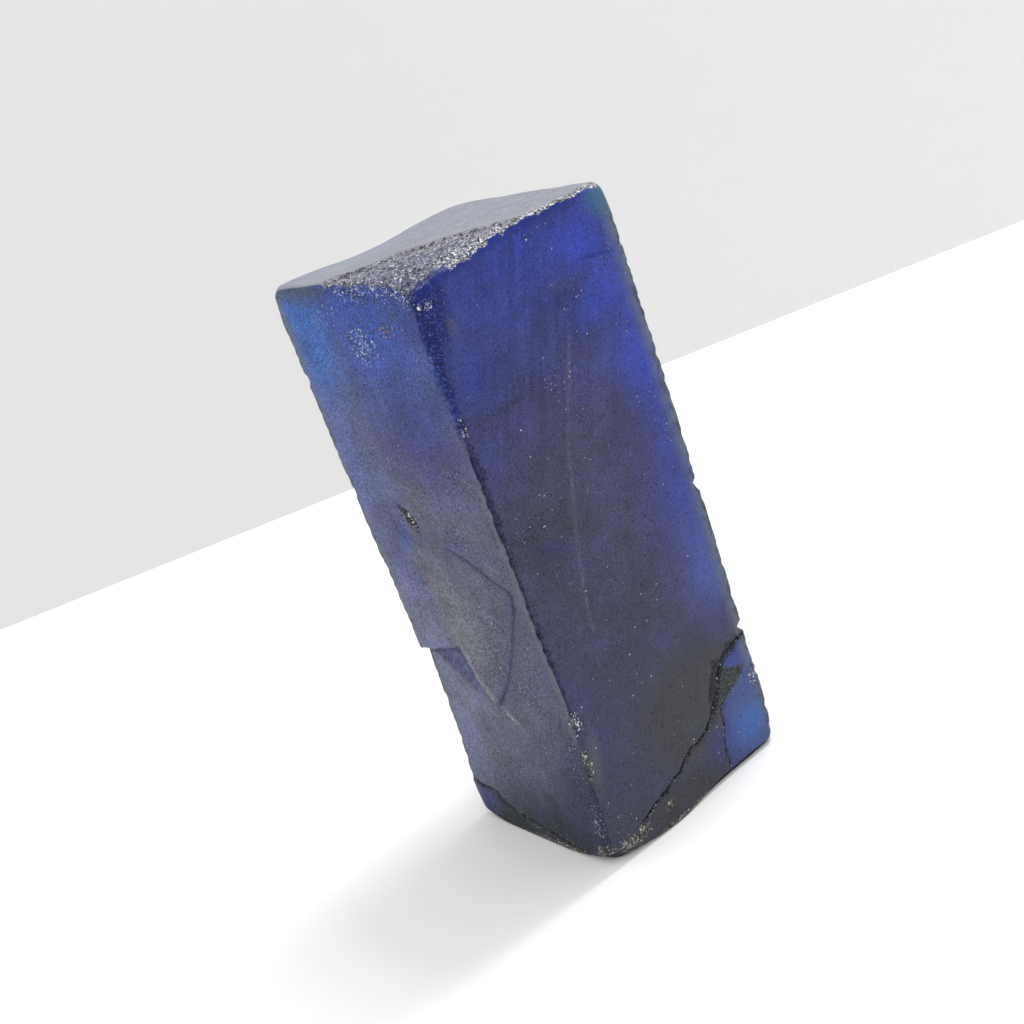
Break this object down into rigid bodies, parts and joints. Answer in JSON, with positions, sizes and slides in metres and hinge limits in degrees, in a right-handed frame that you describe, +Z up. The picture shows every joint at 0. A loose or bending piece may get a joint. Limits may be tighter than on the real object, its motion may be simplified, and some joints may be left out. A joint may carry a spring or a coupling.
{
  "type": "rough blue gemstone block",
  "caption": "Upright four-sided block of rough blue gemstone, sawn and unpolished, with worn edges, a broken top corner, a flake scar and open cracks; rests on its flat base.",
  "frame": {"origin": "centre of the outline at the height of the flat base", "axes": "+Z up along the block's long axis; the broken top corner is at -X -Y, the face with the main crack is -Y and the face with the flake scar is -X"},
  "size_m": [0.0241, 0.024, 0.061],
  "materials": {
    "blue_stone": "sawn, unpolished satin, slate grey with royal blue flashes"
  },
  "bodies": {
    "root": {"stone_block": "blue_stone"}
  },
  "joints": []
}
